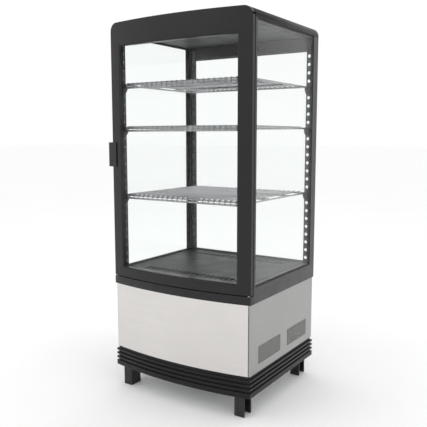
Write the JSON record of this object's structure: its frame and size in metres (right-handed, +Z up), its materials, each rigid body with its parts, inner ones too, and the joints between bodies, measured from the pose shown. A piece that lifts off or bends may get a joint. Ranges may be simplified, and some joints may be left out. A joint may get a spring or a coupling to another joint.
{
  "type": "glass door merchandiser",
  "caption": "Countertop refrigerated display cabinet with glazed sides, a bowed glass door, wire shelves and a stainless base.",
  "frame": {"origin": "centre of the bounding box footprint, on the surface that the feet stand on", "axes": "+Z up, the door faces -Y, +X to the hinge side"},
  "size_m": [0.438, 0.386, 0.98],
  "materials": {
    "moulded_feet": "satin",
    "zinc_steel": "satin",
    "galvanised_sheet": "satin",
    "trim_plastic": "satin",
    "stainless": "brushed",
    "frame_plastic": "satin",
    "foam": "matte",
    "liner_plastic": "matte",
    "glass": "polished",
    "spacer": "satin",
    "standard_steel": "satin",
    "black_plastic": "satin",
    "chrome_wire": "polished",
    "liner_grey": "matte",
    "coil_metal": "satin",
    "fan_plastic": "satin",
    "painted_steel": "satin",
    "compressor_enamel": "gloss",
    "light_body": "satin",
    "light_lens": "satin",
    "knob_plastic": "satin",
    "switch_plastic": "gloss",
    "gasket_rubber": "matte"
  },
  "bodies": {
    "cabinet": {"feet": "moulded_feet", "foot_screws": "zinc_steel", "base_pan": "galvanised_sheet", "base_trim_front": "trim_plastic", "base_trim_left": "trim_plastic", "base_trim_right": "trim_plastic", "base_trim_rear": "trim_plastic", "front_panel": "stainless", "side_panel_left": "stainless", "side_panel_right": "stainless", "rear_panel": "galvanised_sheet", "front_sill": "frame_plastic", "rail_left": "frame_plastic", "rail_right": "frame_plastic", "rail_rear": "frame_plastic", "post_front_left": "frame_plastic", "post_front_right": "frame_plastic", "post_rear_left": "frame_plastic", "post_rear_right": "frame_plastic", "front_header": "frame_plastic", "rear_top_rail": "frame_plastic", "roof_cap": "frame_plastic", "roof_insulation": "foam", "ceiling_liner": "liner_plastic", "glass_left": "glass", "glass_right": "glass", "glass_rear": "glass", "glazing_spacers": "spacer", "standards_left": "standard_steel", "standards_right": "standard_steel", "shelf_clips": "black_plastic", "floor_grille": "liner_plastic", "floor_insulation": "foam", "evaporator_well": "liner_grey", "evaporator_coil": "coil_metal", "evaporator_shroud": "fan_plastic", "compressor": "compressor_enamel", "condenser_coil": "coil_metal", "condenser_shroud": "painted_steel", "light_housing": "light_body", "light_lens": "light_lens", "control_box": "black_plastic", "power_gland": "black_plastic", "hinge_arm_top": "painted_steel", "hinge_pin_bottom": "zinc_steel"},
    "door": {"door_top_rail": "frame_plastic", "door_bottom_rail": "frame_plastic", "door_stile_left": "frame_plastic", "door_stile_right": "frame_plastic", "door_glass_outer": "glass", "door_glass_inner": "glass", "door_gasket": "gasket_rubber", "door_handle": "black_plastic"},
    "shelf_low": {"shelf_lower": "chrome_wire"},
    "shelf_mid": {"shelf_middle": "chrome_wire"},
    "shelf_top": {"shelf_upper": "chrome_wire"},
    "evap_fan": {"evaporator_fan": "fan_plastic"},
    "cond_fan": {"condenser_fan": "fan_plastic"},
    "knob": {"thermostat_knob": "knob_plastic"},
    "rocker": {"light_switch": "switch_plastic"}
  },
  "joints": [
    {"name": "door_swing", "type": "hinge", "parent": "cabinet", "child": "door", "pos_m": [0.212, -0.167, 0.63], "axis": [0, 0, 1], "range_deg": [0, 110]},
    {"name": "shelf_lower_lift", "type": "slide", "parent": "cabinet", "child": "shelf_low", "axis": [0, 0, 1], "range_m": [0, 0.012]},
    {"name": "shelf_middle_lift", "type": "slide", "parent": "cabinet", "child": "shelf_mid", "axis": [0, 0, 1], "range_m": [0, 0.012]},
    {"name": "shelf_upper_lift", "type": "slide", "parent": "cabinet", "child": "shelf_top", "axis": [0, 0, 1], "range_m": [0, 0.012]},
    {"name": "evaporator_fan_spin", "type": "hinge", "parent": "cabinet", "child": "evap_fan", "pos_m": [0.005, 0.018, 0.278], "axis": [0, 1, 0], "continuous": true},
    {"name": "condenser_fan_spin", "type": "hinge", "parent": "cabinet", "child": "cond_fan", "pos_m": [0.136, 0, 0.13], "axis": [1, 0, 0], "continuous": true},
    {"name": "thermostat_turn", "type": "hinge", "parent": "cabinet", "child": "knob", "pos_m": [-0.165, 0.18, 0.235], "axis": [0, 1, 0], "range_deg": [0, 270]},
    {"name": "light_rock", "type": "hinge", "parent": "cabinet", "child": "rocker", "pos_m": [-0.123, 0.176, 0.235], "axis": [1, 0, 0], "range_deg": [-16, 0]}
  ]
}
